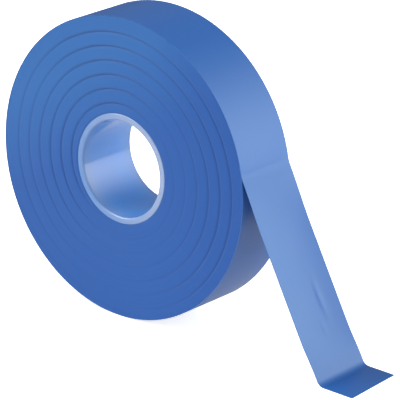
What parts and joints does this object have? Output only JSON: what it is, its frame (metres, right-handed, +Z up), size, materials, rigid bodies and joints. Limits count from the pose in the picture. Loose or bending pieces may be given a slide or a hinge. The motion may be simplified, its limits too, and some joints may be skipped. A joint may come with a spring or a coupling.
{
  "type": "electrical tape roll",
  "caption": "Roll of PVC electrical insulating tape on a plastic core, standing on its rim, with a straight peeled tail that ends in a flat tab.",
  "frame": {"origin": "centre of the roll, on the axis of the core's bore and half way across the tape's width", "axes": "+Y along the core's bore, +Z up with the roll standing on its rim, +X towards the free tail"},
  "size_m": [0.1175, 0.019, 0.081],
  "materials": {
    "core_plastic": "satin, translucent",
    "tape_film": "satin vinyl",
    "tape_adhesive": "tacky"
  },
  "bodies": {
    "roll": {"core_tube": "core_plastic", "wound_turn_1": "tape_film", "wound_turn_2": "tape_film", "wound_turn_3": "tape_film", "wound_turn_4": "tape_film", "wound_turn_5": "tape_film", "wound_turn_6": "tape_film"},
    "outer_lap": {"outer_lap_film": "tape_film", "outer_lap_adhesive": "tape_adhesive"},
    "tail_root": {"tail_root_film": "tape_film", "tail_root_adhesive": "tape_adhesive"},
    "tail": {"tail_film": "tape_film", "tail_adhesive": "tape_adhesive"},
    "end_tab": {"end_tab_film": "tape_film", "end_tab_adhesive": "tape_adhesive"}
  },
  "joints": [
    {"name": "unwind", "type": "hinge", "parent": "roll", "child": "outer_lap", "pos_m": [0, 0, 0], "axis": [0, -1, 0], "range_deg": [0, 90]},
    {"name": "peel", "type": "hinge", "parent": "outer_lap", "child": "tail_root", "pos_m": [0.03969, 0, 0.00772], "axis": [0, -1, 0], "range_deg": [-14, 120]},
    {"name": "payout", "type": "slide", "parent": "tail_root", "child": "tail", "axis": [0.4909, 0, -0.8712], "range_m": [0, 0.065]},
    {"name": "tab_fold", "type": "hinge", "parent": "tail", "child": "end_tab", "pos_m": [0.06682, 0, -0.04043], "axis": [0, -1, 0], "range_deg": [-60, 85]}
  ],
  "couplings": [
    {"joint": "payout", "follows": "unwind", "m_per_rad": 0.040435}
  ]
}
